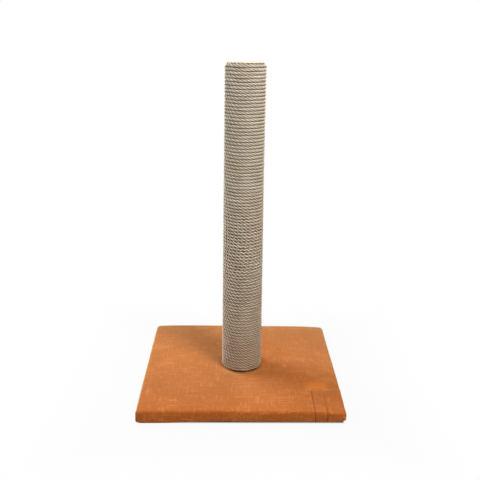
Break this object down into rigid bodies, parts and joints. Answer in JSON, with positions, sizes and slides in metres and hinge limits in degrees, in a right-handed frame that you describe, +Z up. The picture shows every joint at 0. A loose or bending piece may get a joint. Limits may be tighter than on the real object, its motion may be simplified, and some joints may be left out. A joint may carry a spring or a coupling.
{
  "type": "cat scratching post",
  "caption": "Upright cat scratching post: a tube wound with sisal rope, standing on a square felt-covered padded base.",
  "frame": {"origin": "middle of the base on the floor, at the bottom of the feet", "axes": "+Z up along the post, -Y towards the front edge with the tab, +X to the right seen from the front"},
  "size_m": [0.4, 0.4, 0.654],
  "materials": {
    "board": "raw fibreboard",
    "foam": "open-cell foam",
    "felt": "orange felt with a fine mottle",
    "tab_felt": "orange felt strip, bare",
    "thread": "polyester sewing thread",
    "lining": "black non-woven sheet",
    "foot_rubber": "matte",
    "cardboard": "wound grey-brown cardboard",
    "plug_wood": "raw pine",
    "nail_steel": "plain wire",
    "staple_steel": "galvanised wire",
    "zinc_steel": "bright zinc plate",
    "sisal": "three-strand twisted natural fibre"
  },
  "bodies": {
    "scratching_post": {"base_board": "board", "foam_pad": "foam", "base_cover": "felt", "cover_staples": "staple_steel", "base_lining": "lining", "lining_staples": "staple_steel", "foot_front_left": "foot_rubber", "foot_front_right": "foot_rubber", "foot_rear_left": "foot_rubber", "foot_rear_right": "foot_rubber", "edge_tab": "tab_felt", "tab_stitching": "thread", "tab_staple": "staple_steel", "post_tube": "cardboard", "bottom_plug": "plug_wood", "top_plug": "plug_wood", "bottom_plug_nails": "nail_steel", "top_plug_nails": "nail_steel", "tee_nut": "zinc_steel", "sisal_rope": "sisal", "rope_end_staples": "staple_steel"},
    "washer": {"clamp_washer": "zinc_steel"},
    "bolt": {"clamp_bolt": "zinc_steel"}
  },
  "joints": [
    {"name": "washer_drop", "type": "slide", "parent": "scratching_post", "child": "washer", "axis": [0, 0, -1], "range_m": [0, 0.02]},
    {"name": "bolt_turn", "type": "hinge", "parent": "washer", "child": "bolt", "pos_m": [0, 0, 0.0126], "axis": [0, 0, -1], "range_deg": [0, 5760]}
  ],
  "couplings": [
    {"joint": "bolt_turn", "follows": "washer_drop", "rad_per_m": 5026.5}
  ]
}
